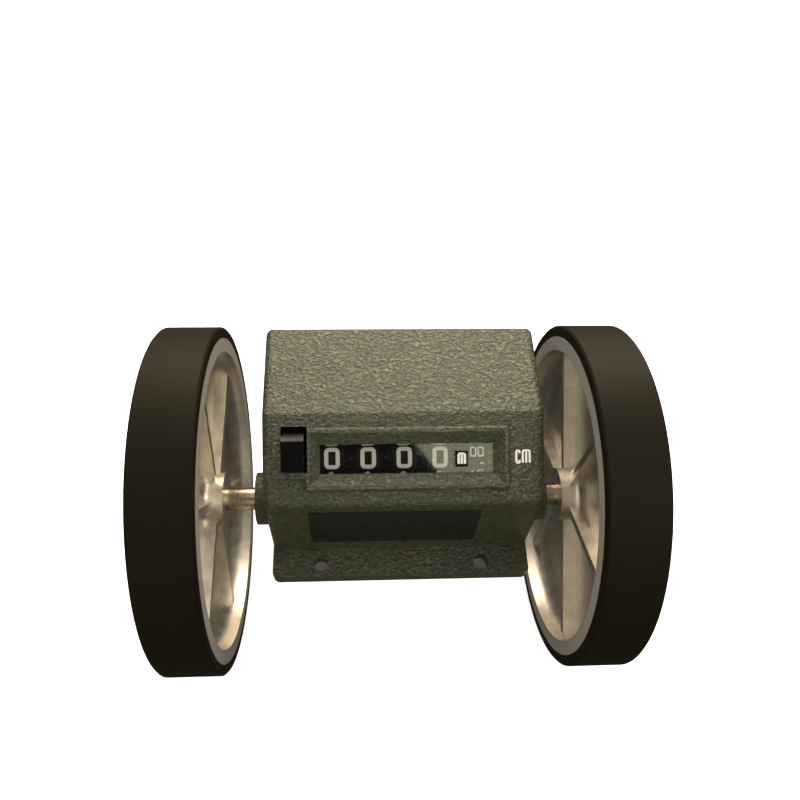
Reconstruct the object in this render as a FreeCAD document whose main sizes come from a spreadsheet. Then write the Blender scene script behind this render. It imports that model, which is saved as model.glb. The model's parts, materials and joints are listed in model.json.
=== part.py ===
import FreeCAD, Part
import Sketcher
import math
import os

V = FreeCAD.Vector
doc = FreeCAD.newDocument("length_counter")

# Driving dimensions in millimetres, except counts and angles in degrees.
# X runs along the axle, Y to the back, Z up. The origin is the middle of the base's underside.
DIMENSIONS = [
    ("housing_width", 81.2), ("wall", 2.5), ("edge_radius", 2.2),
    ("back_face_y", 28.2), ("roof_front_y", -2.3), ("roof_z", 47.8),
    ("dial_foot_y", -25.7), ("dial_foot_z", 35.4), ("front_foot_y", -27.2),
    ("flange_half_depth", 36.4), ("flange_thickness", 4.5), ("flange_corner", 2.0),
    ("fixing_hole_radius", 2.3), ("fixing_spacing_x", 51.0), ("fixing_spacing_y", 64.0),
    ("window_x", 0.75), ("window_width", 50.0), ("window_height", 8.4),
    ("bezel_width", 58.8), ("bezel_height", 18.2), ("bezel_rise", 1.1), ("bezel_land", 1.6),
    ("bezel_corner", 1.3), ("cast_edge", 0.8),
    ("lens_lap", 1.5), ("lens_thickness", 1.2), ("lens_setback", 1.25), ("glue_gap", 0.05),
    ("key_slot_x", -31.45), ("key_slot_width", 7.4), ("key_slot_height", 13.0), ("key_slot_rise", 2.9),
    ("key_rim", 2.4), ("key_rim_height", 0.8),
    ("plate_x", -2.7), ("plate_width", 50.4), ("plate_height", 20.4), ("plate_thickness", 0.6),
    ("plate_recess", 0.4), ("plate_z", 20.9),
    ("axle_y", -14.0), ("axle_z", 15.5), ("axle_radius", 3.5), ("axle_chamfer", 0.6),
    ("running_gap", 0.05), ("press_gap", 0.01),
    ("boss_radius", 8.2), ("boss_rise", 4.2), ("bush_radius", 6.0),
    ("collar_radius", 5.6), ("collar_width", 3.0), ("collar_gap", 1.0), ("end_float", 0.1),
    ("wheel_radius", 53.05), ("tyre_thickness", 3.25), ("wheel_width", 16.5), ("tyre_edge", 0.5),
    ("right_hub_gap", 4.6), ("left_hub_gap", 9.6),
    ("rim_face", 4.2), ("rim_taper", 1.2), ("web_thickness", 2.2), ("hub_fillet", 2.5), ("rim_fillet", 5.5),
    ("hub_radius", 8.3), ("hub_setback", 0.9), ("rib_width", 2.4), ("rib_setback", 3.4),
    ("rib_count", 6), ("right_rib_angle", 31.0), ("left_rib_angle", 2.0),
    ("set_screw_radius", 2.0), ("set_screw_length", 4.0),
    ("drum_y", -7.1), ("drum_z", 29.1), ("drum_radius", 10.75), ("drum_pitch", 10.45),
    ("drum_rim_width", 7.0), ("drum_rim_wall", 1.2), ("drum_web", 1.6), ("drum_hub_radius", 4.0),
    ("drum_flank", 1.4), ("carry_radius", 8.4), ("drum_shaft_radius", 2.0),
    ("train_module", 0.7), ("drive_teeth", 16), ("idler_teeth", 24), ("idler_pinion_teeth", 14),
    ("drum_gear_teeth", 28), ("gear_width", 2.0), ("gear_gap", 2.2), ("idler_radius", 1.5),
    ("carry_module", 0.9), ("carry_teeth", 20), ("transfer_teeth", 8), ("transfer_width", 1.5),
    ("transfer_shaft_radius", 1.25), ("transfer_angle", -11.6),
    ("sheet_steel", 1.0), ("frame_left_x", -27.0), ("frame_right_x", 31.0), ("frame_web", 1.5),
    ("frame_front_y", -21.0), ("frame_back_y", 13.0), ("frame_roof_z", 41.0), ("frame_relief", 4.4),
    ("base_sheet", 1.2), ("base_inset", 0.3), ("base_lap", 1.2), ("base_play", 0.15),
    ("post_radius", 3.2), ("post_inset", 0.3), ("post_top_z", 9.0),
    ("screw_radius", 1.45), ("screw_head_radius", 2.8), ("screw_length", 7.0),
    ("clip_radius", 3.0), ("clip_thickness", 0.5), ("shaft_overhang", 1.4),
    ("lever_x", -32.4), ("lever_y", -1.5), ("lever_z", 21.5), ("lever_sheet", 1.2), ("lever_pin_radius", 1.5),
    ("lever_width", 5.0), ("key_width", 6.4), ("key_offset", -0.3), ("key_stem_width", 5.8),
    ("comb_y", 9.5), ("comb_z", 37.5), ("comb_rod_radius", 1.5), ("comb_sleeve", 2.5),
    ("tail_reach_y", 8.3), ("tail_reach_z", 8.9), ("tail_width", 2.2),
    ("comb_reach", 7.2), ("finger_sheet", 1.0), ("comb_pin_radius", 1.0), ("contact_gap", 0.3),
    ("tag_x", 16.4), ("tag_drop", 0.3), ("tag_width", 3.55), ("tag_height", 4.6), ("tag_thickness", 0.3),
    ("spring_wire", 0.6), ("spring_radius", 2.4), ("spring_turns", 4),
]

sheet = doc.addObject("Spreadsheet::Sheet", "dims")
for row, (alias, amount) in enumerate(DIMENSIONS, start=1):
    sheet.set(f"A{row}", alias)
    sheet.set(f"B{row}", str(amount))
    sheet.setAlias(f"B{row}", alias)
doc.recompute()

SUB_PARTS = []


def size(alias):
    return float(sheet.get(alias))


def value(formula):
    found = sheet.evalExpression(formula)
    return float(getattr(found, "Value", found))


# Places that several pieces share, as formulas of the sheet.
HALF = "dims.housing_width / 2"
SLOPE = "atan2(dims.roof_z - dims.dial_foot_z; dims.roof_front_y - dims.dial_foot_y)"
DIAL_Y = "(dims.roof_front_y + dims.dial_foot_y) / 2"
DIAL_Z = "(dims.roof_z + dims.dial_foot_z) / 2"
DRAFT = "atan2(dims.dial_foot_z - dims.flange_thickness; dims.dial_foot_y - dims.front_foot_y)"
TRANSFER_DISTANCE = "dims.carry_module * (dims.carry_teeth + dims.transfer_teeth) / 2"
TRANSFER_Y = f"(dims.drum_y + {TRANSFER_DISTANCE} * cos(dims.transfer_angle))"
TRANSFER_Z = f"(dims.drum_z + {TRANSFER_DISTANCE} * sin(dims.transfer_angle))"
GEAR_X = "(dims.drum_pitch * 2 + dims.drum_rim_width / 2)"
OUTER_GEAR_X = f"({GEAR_X} + dims.gear_width + dims.gear_gap)"
BOSS_X = f"({HALF} + dims.boss_rise)"
BUSH_END = "(dims.frame_right_x + dims.sheet_steel + dims.collar_gap + dims.collar_width + dims.end_float)"
HUB_HALF = "(dims.wheel_width / 2 - dims.hub_setback)"
WHEEL_X = {"left": f"(-{BOSS_X} - dims.left_hub_gap - {HUB_HALF})",
           "right": f"({BOSS_X} + dims.right_hub_gap + {HUB_HALF})"}


def finish(thing, label):
    """Keep a finished sub-part under the name of its node."""
    thing.Label = label
    SUB_PARTS.append(thing)
    return thing


def bind(thing, **formulas):
    for name, formula in formulas.items():
        thing.setExpression(name.replace("__", "."), formula)
    return thing


def place(thing, x="0", y="0", z="0"):
    for axis, formula in zip("xyz", (x, y, z)):
        thing.setExpression(f"Placement.Base.{axis}", formula)
    return thing


def cylinder(radius, length, x, y="0", z="0"):
    """A cylinder along X, from x onwards."""
    rod = doc.addObject("Part::Cylinder", "rod")
    bind(rod, Radius=radius, Height=length)
    rod.Placement = FreeCAD.Placement(V(0, 0, 0), FreeCAD.Rotation(V(0, 1, 0), 90))
    return place(rod, x, y, z)


def upright_cylinder(radius, length, x, y, z):
    rod = doc.addObject("Part::Cylinder", "post")
    bind(rod, Radius=radius, Height=length)
    return place(rod, x, y, z)


def box(width, depth, height, x, y, z):
    """A box whose lower corner is at x, y, z."""
    block = doc.addObject("Part::Box", "block")
    bind(block, Length=width, Width=depth, Height=height)
    return place(block, x, y, z)


def fuse(shapes):
    joined = doc.addObject("Part::MultiFuse", "joined")
    joined.Shapes = shapes
    return joined


def cut(base, tool):
    trimmed = doc.addObject("Part::Cut", "trimmed")
    trimmed.Base = base
    trimmed.Tool = tool
    return trimmed


def group(shapes):
    """Several like solids that share one node."""
    together = doc.addObject("Part::Compound", "together")
    together.Links = shapes
    return together


def ring(outer, inner, length, x, y, z):
    return cut(cylinder(outer, length, x, y, z), cylinder(inner, length, x, y, z))


def new_body(name):
    return doc.addObject("PartDesign::Body", name)


def sketch_on(body, role, name, tilt=None, at=("0", "0", "0")):
    """A sketch on one of the body's own origin planes, shifted and tilted about X where asked."""
    drawing = body.newObject("Sketcher::SketchObject", name)
    plane = [item for item in body.Origin.OriginFeatures if item.Role == role][0]
    drawing.AttachmentSupport = (plane, [""])
    drawing.MapMode = "FlatFace"
    if tilt:
        drawing.AttachmentOffset = FreeCAD.Placement(V(0, 0, 0), FreeCAD.Rotation(V(1, 0, 0), value(tilt)))
        drawing.setExpression("AttachmentOffset.Rotation.Angle", tilt)
    for axis, formula in zip("xyz", at):
        drawing.setExpression(f"AttachmentOffset.Base.{axis}", formula)
    return drawing


def polygon(drawing, corners):
    """A closed outline whose every corner is set by two formulas."""
    spots = [V(value(across), value(along), 0) for across, along in corners]
    first = drawing.GeometryCount
    count = len(spots)
    for index in range(count):
        drawing.addGeometry(Part.LineSegment(spots[index], spots[(index + 1) % count]), False)
    for index in range(count):
        drawing.addConstraint(Sketcher.Constraint("Coincident", first + index, 2, first + (index + 1) % count, 1))
    for index, (across, along) in enumerate(corners):
        for kind, formula, amount in (("DistanceX", across, spots[index].x), ("DistanceY", along, spots[index].y)):
            number = drawing.addConstraint(Sketcher.Constraint(kind, -1, 1, first + index, 1, amount))
            drawing.setExpression(f"Constraints[{number}]", formula)
    return drawing


def circle(drawing, across, along, radius):
    spot = V(value(across), value(along), 0)
    index = drawing.addGeometry(Part.Circle(spot, V(0, 0, 1), value(radius)), False)
    for kind, formula, amount in (("DistanceX", across, spot.x), ("DistanceY", along, spot.y)):
        number = drawing.addConstraint(Sketcher.Constraint(kind, -1, 1, index, 3, amount))
        drawing.setExpression(f"Constraints[{number}]", formula)
    number = drawing.addConstraint(Sketcher.Constraint("Radius", index, value(radius)))
    drawing.setExpression(f"Constraints[{number}]", radius)
    return drawing


def rectangle(drawing, across, along, width, height):
    """A rectangle about its middle."""
    left, right = f"{across} - ({width}) / 2", f"{across} + ({width}) / 2"
    low, high = f"{along} - ({height}) / 2", f"{along} + ({height}) / 2"
    return polygon(drawing, [(left, low), (right, low), (right, high), (left, high)])


def pad(body, drawing, length, midplane=False, backwards=False):
    feature = body.newObject("PartDesign::Pad", "pad")
    feature.Profile = drawing
    feature.Midplane = midplane
    feature.Reversed = backwards
    bind(feature, Length=length)
    return feature


def pocket(body, drawing, length, midplane=False, backwards=False):
    doc.recompute()
    feature = body.newObject("PartDesign::Pocket", "pocket")
    feature.Profile = drawing
    feature.Midplane = midplane
    feature.Reversed = backwards
    bind(feature, Length=length)
    before = feature.BaseFeature.Shape.Volume
    doc.recompute()
    if feature.Shape.Volume >= before:
        raise RuntimeError(f"{drawing.Label} cuts nothing")
    return feature


def revolve(body, drawing, role="X_Axis"):
    feature = body.newObject("PartDesign::Revolution", "revolution")
    feature.Profile = drawing
    feature.ReferenceAxis = ([item for item in body.Origin.OriginFeatures if item.Role == role][0], [""])
    feature.Angle = 360
    return feature


def fillet(body, base, wanted, radius):
    """Round the edges of a feature that the test picks."""
    doc.recompute()
    names = [f"Edge{number}" for number, edge in enumerate(base.Shape.Edges, start=1) if wanted(edge)]
    feature = body.newObject("PartDesign::Fillet", "fillet")
    feature.Base = (base, names)
    bind(feature, Radius=radius)
    return feature


def gear_outline(teeth, module, phase):
    """A spur gear's outline: straight flanks, thin enough to mesh at any angle."""
    pitch_radius = module * teeth / 2
    tip, root = pitch_radius + module, pitch_radius - 1.25 * module
    step = 2 * math.pi / teeth
    corners = []
    for tooth in range(teeth):
        middle = phase + tooth * step
        for radius, share in ((root, -0.27), (tip, -0.10), (tip, 0.10), (root, 0.27)):
            corners.append((radius, middle + share * step))
    return [(radius * math.cos(angle), radius * math.sin(angle)) for radius, angle in corners]


def gear_solid(teeth, module, phase, width, x, y, z):
    spots = [V(x, y + across, z + along) for across, along in gear_outline(teeth, module, phase)]
    face = Part.Face(Part.makePolygon(spots + spots[:1]))
    return face.extrude(V(width, 0, 0))


def gear(label, teeth, module, phase, width, x, y, z, bore, hub_radius=0.0, hub_length=0.0):
    """A gear about an axis along X, with its bore, and a hub past its far face where it has one."""
    solid = gear_solid(int(size(teeth)), size(module), phase, width, x, y, z)
    if hub_length:
        solid = solid.fuse(Part.makeCylinder(hub_radius, width + hub_length, V(x, y, z), V(1, 0, 0)))
    start, stop = x - 1, x + width + hub_length + 1
    solid = solid.cut(Part.makeCylinder(bore, stop - start, V(start, y, z), V(1, 0, 0))).removeSplitter()
    feature = doc.addObject("Part::Feature", label)
    feature.Shape = solid
    return feature


def dial_height(point):
    """How far a point stands off the dial face."""
    lean = math.radians(value(SLOPE))
    return (point.z - value(DIAL_Z)) * math.cos(lean) - (point.y - value(DIAL_Y)) * math.sin(lean)


def stands_on_dial(edge, rise):
    """Whether an edge runs straight up off the dial face to the given height."""
    heights = sorted(dial_height(end.Point) for end in edge.Vertexes)
    return len(heights) == 2 and abs(heights[0]) < 0.01 and abs(heights[1] - size(rise)) < 0.01


def lies_above_dial(edge, rise):
    """Whether an edge lies in the plane at the given height over the dial face."""
    middle = edge.valueAt((edge.FirstParameter + edge.LastParameter) / 2)
    spots = [end.Point for end in edge.Vertexes] + [middle]
    return all(abs(dial_height(spot) - size(rise)) < 0.01 for spot in spots)


# Housing: one die casting with a roof, a sloped dial face, a base flange and a boss round each axle bore.
def make_housing():
    body = new_body("housing_casting")
    outline = sketch_on(body, "YZ_Plane", "side_outline")
    polygon(outline, [
        ("dims.front_foot_y", "dims.flange_thickness / 2"), ("dims.back_face_y", "dims.flange_thickness / 2"),
        ("dims.back_face_y", "dims.roof_z"), ("dims.roof_front_y", "dims.roof_z"),
        ("dims.dial_foot_y", "dims.dial_foot_z")])
    block = pad(body, outline, "dims.housing_width", midplane=True)
    floor = size("flange_thickness") / 2
    rounded = fillet(body, block, lambda edge: edge.BoundBox.ZMax > floor + 0.1, "dims.edge_radius")
    base = sketch_on(body, "XY_Plane", "flange_outline")
    rectangle(base, "0", "0", "dims.housing_width", "2 * dims.flange_half_depth")
    flange = pad(body, base, "dims.flange_thickness")
    thick = size("flange_thickness")
    rounded = fillet(body, flange, lambda edge: (
        abs(edge.BoundBox.ZLength - thick) < 0.01 and edge.BoundBox.ZMin < 0.01
        and edge.BoundBox.XLength < 0.01 and edge.BoundBox.YLength < 0.01), "dims.flange_corner")
    bosses = circle(sketch_on(body, "YZ_Plane", "boss_outline"), "dims.axle_y", "dims.axle_z", "dims.boss_radius")
    pad(body, bosses, f"2 * {BOSS_X}", midplane=True)
    bezel = sketch_on(body, "XY_Plane", "bezel_outline", SLOPE, ("0", DIAL_Y, DIAL_Z))
    rectangle(bezel, "dims.window_x", "0", "dims.bezel_width", "dims.bezel_height")
    raised = pad(body, bezel, "dims.bezel_rise")
    rounded = fillet(body, raised, lambda edge: stands_on_dial(edge, "bezel_rise"), "dims.bezel_corner")
    top = fillet(body, rounded, lambda edge: lies_above_dial(edge, "bezel_rise"), "dims.cast_edge")
    rim = sketch_on(body, "XY_Plane", "key_rim_outline", SLOPE, ("0", DIAL_Y, DIAL_Z))
    rectangle(rim, "dims.key_slot_x", "dims.key_slot_rise", "dims.key_slot_width + 2 * dims.key_rim",
              "dims.key_slot_height + 2 * dims.key_rim - 1.2")
    raised = pad(body, rim, "dims.key_rim_height")
    slot_x = size("key_slot_x")
    fillet(body, raised, lambda edge: edge.BoundBox.XMax < slot_x and stands_on_dial(edge, "key_rim_height"),
           "dims.bezel_corner")
    # The cavity follows the outside, one wall in, and is open underneath.
    cavity = sketch_on(body, "YZ_Plane", "cavity_outline")
    shift = f"dims.wall * tan(({SLOPE}) / 2)"
    lean = f"dims.wall * tan((90 deg - ({SLOPE})) / 2)"
    polygon(cavity, [
        ("dims.front_foot_y + dims.wall", "-1"), ("dims.back_face_y - dims.wall", "-1"),
        ("dims.back_face_y - dims.wall", "dims.roof_z - dims.wall"),
        (f"dims.roof_front_y + {shift}", "dims.roof_z - dims.wall"),
        ("dims.dial_foot_y + dims.wall", f"dims.dial_foot_z - {lean}")])
    pocket(body, cavity, "dims.housing_width - 2 * dims.wall", midplane=True)
    recess = rectangle(sketch_on(body, "XY_Plane", "base_recess_outline"), "0",
                       "(dims.front_foot_y + dims.back_face_y) / 2",
                       "dims.housing_width - 2 * dims.wall + 2 * dims.base_lap",
                       "dims.back_face_y - dims.front_foot_y - 2 * dims.wall + 2 * dims.base_lap")
    pocket(body, recess, "dims.base_inset + dims.base_sheet", backwards=True)
    posts = sketch_on(body, "XY_Plane", "post_outline", at=("0", "0", "dims.base_inset + dims.base_sheet"))
    for x, y in POSTS:
        circle(posts, x, y, "dims.post_radius")
    pad(body, posts, "dims.post_top_z - dims.base_inset - dims.base_sheet")
    holes = sketch_on(body, "XY_Plane", "post_holes", at=("0", "0", "dims.base_inset + dims.base_sheet"))
    for x, y in POSTS:
        circle(holes, x, y, "dims.screw_radius")
    pocket(body, holes, "dims.screw_length", backwards=True)
    fixings = sketch_on(body, "XY_Plane", "fixing_holes")
    for side in ("-", ""):
        for end in ("-", ""):
            circle(fixings, f"{side}dims.fixing_spacing_x / 2", f"{end}dims.fixing_spacing_y / 2",
                   "dims.fixing_hole_radius")
    pocket(body, fixings, "dims.flange_thickness", backwards=True)
    bores = circle(sketch_on(body, "YZ_Plane", "bush_bores"), "dims.axle_y", "dims.axle_z", "dims.bush_radius")
    pocket(body, bores, f"2 * {BOSS_X} + 2", midplane=True)
    # The window has a broad bevel outside and a seat for the lens inside.
    mouth = sketch_on(body, "XY_Plane", "bevel_mouth", SLOPE,
                      ("0", f"{DIAL_Y} - dims.bezel_rise * sin({SLOPE})", f"{DIAL_Z} + dims.bezel_rise * cos({SLOPE})"))
    rectangle(mouth, "dims.window_x", "0", "dims.bezel_width - 2 * dims.bezel_land",
              "dims.bezel_height - 2 * dims.bezel_land")
    throat = sketch_on(body, "XY_Plane", "bevel_throat", SLOPE,
                       ("0", f"{DIAL_Y} + dims.lens_setback * sin({SLOPE})",
                        f"{DIAL_Z} - dims.lens_setback * cos({SLOPE})"))
    rectangle(throat, "dims.window_x", "0", "dims.window_width", "dims.window_height")
    bevel = body.newObject("PartDesign::SubtractiveLoft", "bevel")
    bevel.Profile = mouth
    bevel.Sections = [throat]
    bevel.Ruled = True
    seat = sketch_on(body, "XY_Plane", "lens_seat", SLOPE,
                     ("0", f"{DIAL_Y} + dims.lens_setback * sin({SLOPE})",
                      f"{DIAL_Z} - dims.lens_setback * cos({SLOPE})"))
    rectangle(seat, "dims.window_x", "0", "dims.window_width + 2 * dims.lens_lap",
              "dims.window_height + 2 * dims.lens_lap")
    doc.recompute()
    pocket(body, seat, "dims.wall")
    slot = sketch_on(body, "XY_Plane", "key_slot", SLOPE,
                     ("0", f"{DIAL_Y} - 3 * sin({SLOPE})", f"{DIAL_Z} + 3 * cos({SLOPE})"))
    rectangle(slot, "dims.key_slot_x", "dims.key_slot_rise", "dims.key_slot_width", "dims.key_slot_height")
    pocket(body, slot, "dims.wall + 6")
    plate = sketch_on(body, "XY_Plane", "plate_recess_outline", DRAFT,
                      ("0", PLATE_Y, "dims.plate_z"))
    rectangle(plate, "dims.plate_x", "0", "dims.plate_width + 0.3", "dims.plate_height + 0.3")
    pocket(body, plate, "dims.plate_recess")
    return finish(body, "housing")


POST_X = f"({HALF} - dims.wall - dims.post_radius + dims.post_inset)"
POST_FRONT = "(dims.front_foot_y + dims.wall + dims.post_radius - dims.post_inset)"
POST_BACK = "(dims.back_face_y - dims.wall - dims.post_radius + dims.post_inset)"
POSTS = [(f"{side}{POST_X}", y) for side in ("-", "") for y in (POST_FRONT, POST_BACK)]
PLATE_Y = ("(dims.front_foot_y + (dims.plate_z - dims.flange_thickness)"
           " * (dims.dial_foot_y - dims.front_foot_y) / (dims.dial_foot_z - dims.flange_thickness))")


# Base plate: sheet steel let into the underside, held by four countersunk screws, with the frame on it.
def countersunk_screw(x, y, length):
    head = doc.addObject("Part::Cone", "head")
    bind(head, Radius1="dims.screw_head_radius", Radius2="dims.screw_radius", Height="dims.base_sheet")
    place(head, x, y, "dims.base_inset")
    shank = upright_cylinder("dims.screw_radius", length, x, y, "dims.base_inset + dims.base_sheet")
    return fuse([head, shank])


def countersink(x, y):
    sink = doc.addObject("Part::Cone", "sink")
    bind(sink, Radius1="dims.screw_head_radius + dims.running_gap", Radius2="dims.screw_radius + dims.running_gap",
         Height="dims.base_sheet")
    return place(sink, x, y, "dims.base_inset")


FRAME_MIDDLE_Y = "(dims.axle_y + dims.frame_back_y) / 2"
FRAME_SCREWS = [("dims.frame_left_x + 10", FRAME_MIDDLE_Y), ("dims.frame_right_x - 10", FRAME_MIDDLE_Y)]


def make_base():
    width = "dims.housing_width - 2 * dims.wall + 2 * dims.base_lap - 2 * dims.base_play"
    depth = "dims.back_face_y - dims.front_foot_y - 2 * dims.wall + 2 * dims.base_lap - 2 * dims.base_play"
    plate = box(width, depth, "dims.base_sheet", f"-({width}) / 2",
                f"(dims.front_foot_y + dims.back_face_y) / 2 - ({depth}) / 2", "dims.base_inset")
    sinks = [countersink(x, y) for x, y in POSTS + FRAME_SCREWS]
    finish(cut(plate, fuse(sinks)), "base_plate")
    finish(group([countersunk_screw(x, y, "dims.screw_length - 0.5") for x, y in POSTS]), "base_screws")
    finish(group([countersunk_screw(x, y, "dims.frame_web + 1") for x, y in FRAME_SCREWS]), "frame_screws")


# Window lens, unit tag and nameplate: flat pieces that lie on the sloped dial face and the front.
def flat_piece(name, x, across, width, height, thickness, tilt, y, z):
    body = new_body(name)
    drawing = sketch_on(body, "XY_Plane", f"{name}_outline", tilt, ("0", y, z))
    rectangle(drawing, x, across, width, height)
    pad(body, drawing, thickness, backwards=True)
    return finish(body, name)


def dial_depth(depth):
    """A point under the middle of the dial face, as formulas for Y and Z."""
    return f"{DIAL_Y} + ({depth}) * sin({SLOPE})", f"{DIAL_Z} - ({depth}) * cos({SLOPE})"


def make_dial_pieces():
    play = "2 * dims.lens_lap - 2 * dims.glue_gap"
    y, z = dial_depth("dims.lens_setback")
    flat_piece("window_lens", "dims.window_x", "0", f"dims.window_width + {play}", f"dims.window_height + {play}",
               "dims.lens_thickness", SLOPE, y, z)
    y, z = dial_depth("dims.lens_setback - dims.tag_thickness")
    flat_piece("unit_tag", "dims.tag_x", "-dims.tag_drop", "dims.tag_width", "dims.tag_height",
               "dims.tag_thickness", SLOPE, y, z)
    out = "(dims.plate_thickness - dims.plate_recess)"
    flat_piece("nameplate", "dims.plate_x", "0", "dims.plate_width", "dims.plate_height", "dims.plate_thickness",
               DRAFT, f"{PLATE_Y} - {out} * sin({DRAFT})", f"dims.plate_z + {out} * cos({DRAFT})")


# Axle: ground steel, running in a plain bush in each boss, with a collar inside each bush.
def make_axle():
    left, right = f"({WHEEL_X['left']} - {HUB_HALF})", f"({WHEEL_X['right']} + {HUB_HALF})"
    body = new_body("axle_bar")
    drawing = sketch_on(body, "XY_Plane", "axle_profile")
    polygon(drawing, [
        (left, "0"), (right, "0"), (right, "dims.axle_radius - dims.axle_chamfer"),
        (f"{right} - dims.axle_chamfer", "dims.axle_radius"), (f"{left} + dims.axle_chamfer", "dims.axle_radius"),
        (left, "dims.axle_radius - dims.axle_chamfer")])
    revolve(body, drawing)
    place(body, "0", "dims.axle_y", "dims.axle_z")
    finish(body, "axle")
    bore = "dims.axle_radius + dims.running_gap"
    length = f"{BOSS_X} - {BUSH_END}"
    finish(ring("dims.bush_radius", bore, length, f"-{BOSS_X}", "dims.axle_y", "dims.axle_z"), "left_bush")
    finish(ring("dims.bush_radius", bore, length, BUSH_END, "dims.axle_y", "dims.axle_z"), "right_bush")
    snug = "dims.axle_radius + dims.press_gap"
    collar = [ring("dims.collar_radius", snug, "dims.collar_width", x, "dims.axle_y", "dims.axle_z")
              for x in (f"-{BUSH_END} + dims.end_float", f"{BUSH_END} - dims.end_float - dims.collar_width")]
    finish(group(collar), "axle_collars")


# Wheel: an aluminium die casting, with a rim, a thin web, a hub and six ribs on each side.
def make_wheel(side):
    x, angle = WHEEL_X[side], f"dims.{side}_rib_angle"
    body = new_body(f"{side}_wheel_casting")
    drawing = sketch_on(body, "XY_Plane", "wheel_profile")
    half, web = "dims.wheel_width / 2", "dims.web_thickness / 2"
    rim, inner = "dims.wheel_radius - dims.tyre_thickness", "dims.wheel_radius - dims.tyre_thickness - dims.rim_face"
    bore, hub = "dims.axle_radius + dims.press_gap", "dims.hub_radius"
    hub_end, root = "dims.wheel_width / 2 - dims.hub_setback", f"{inner} - dims.rim_taper"
    polygon(drawing, [
        (f"-({half})", rim), (half, rim), (half, inner), (web, root), (web, hub), (hub_end, hub), (hub_end, bore),
        (f"-({hub_end})", bore), (f"-({hub_end})", hub), (f"-({web})", hub), (f"-({web})", root),
        (f"-({half})", inner)])
    turned = revolve(body, drawing)
    doc.recompute()
    thick = value(web)

    middle = (size("hub_radius") + size("wheel_radius")) / 2

    def at_the_web(edge):
        bounds = edge.BoundBox
        return bounds.XLength < 0.01 and abs(abs(bounds.XMin) - thick) < 0.01

    rounded = fillet(body, turned, lambda edge: at_the_web(edge) and edge.BoundBox.YMax < middle, "dims.hub_fillet")
    fillet(body, rounded, lambda edge: at_the_web(edge) and edge.BoundBox.YMax > middle, "dims.rim_fillet")
    rib = sketch_on(body, "YZ_Plane", "rib_outline")
    rectangle(rib, "(dims.hub_radius + " + inner + ") / 2 - 0.3", "0",
              f"{inner} - dims.hub_radius + 1.2", "dims.rib_width")
    raised = pad(body, rib, "dims.wheel_width - 2 * dims.rib_setback", midplane=True)
    spokes = body.newObject("PartDesign::PolarPattern", "spokes")
    spokes.Originals = [raised]
    spokes.Axis = ([item for item in body.Origin.OriginFeatures if item.Role == "X_Axis"][0], [""])
    spokes.Angle = 360
    spokes.Occurrences = int(size("rib_count"))
    bind(spokes, Occurrences="dims.rib_count")
    body.Tip = spokes
    doc.recompute()
    tap = sketch_on(body, "XY_Plane", "set_screw_hole")
    circle(tap, "dims.wheel_width / 2 - dims.hub_setback - dims.set_screw_radius - 1", "0",
           "dims.set_screw_radius")
    pocket(body, tap, "dims.hub_radius + 1")
    body.Placement = FreeCAD.Placement(V(0, 0, 0), FreeCAD.Rotation(V(1, 0, 0), value(angle)))
    bind(body, Placement__Rotation__Angle=angle)
    place(body, x, "dims.axle_y", "dims.axle_z")
    finish(body, f"{side}_wheel")
    tyre = new_body(f"{side}_tyre_ring")
    drawing = sketch_on(tyre, "XY_Plane", "tyre_profile")
    polygon(drawing, [
        (f"-({half})", rim), (half, rim), (half, "dims.wheel_radius - dims.tyre_edge"),
        (f"{half} - dims.tyre_edge", "dims.wheel_radius"), (f"-({half}) + dims.tyre_edge", "dims.wheel_radius"),
        (f"-({half})", "dims.wheel_radius - dims.tyre_edge")])
    revolve(tyre, drawing)
    place(tyre, x, "dims.axle_y", "dims.axle_z")
    finish(tyre, f"{side}_tyre")


for maker in (make_housing, make_base, make_dial_pieces, make_axle):
    maker()
for wheel_side in ("left", "right"):
    make_wheel(wheel_side)

doc.recompute()


def make_set_screws():
    """A grub screw in each hub, pointing at the axle."""
    screws = []
    for side in ("left", "right"):
        screw = doc.addObject("Part::Cylinder", "grub_screw")
        bind(screw, Radius="dims.set_screw_radius - dims.press_gap", Height="dims.set_screw_length")
        angle = f"(dims.{side}_rib_angle + 180)"
        screw.Placement = FreeCAD.Placement(V(0, 0, 0), FreeCAD.Rotation(V(1, 0, 0), value(angle)))
        bind(screw, Placement__Rotation__Angle=angle)
        start = "(dims.axle_radius + dims.press_gap)"
        place(screw, f"{WHEEL_X[side]} + {HUB_HALF} - dims.set_screw_radius - 1",
              f"dims.axle_y - {start} * sin({angle})", f"dims.axle_z + {start} * cos({angle})")
        screws.append(screw)
    finish(group(screws), "wheel_set_screws")


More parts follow.
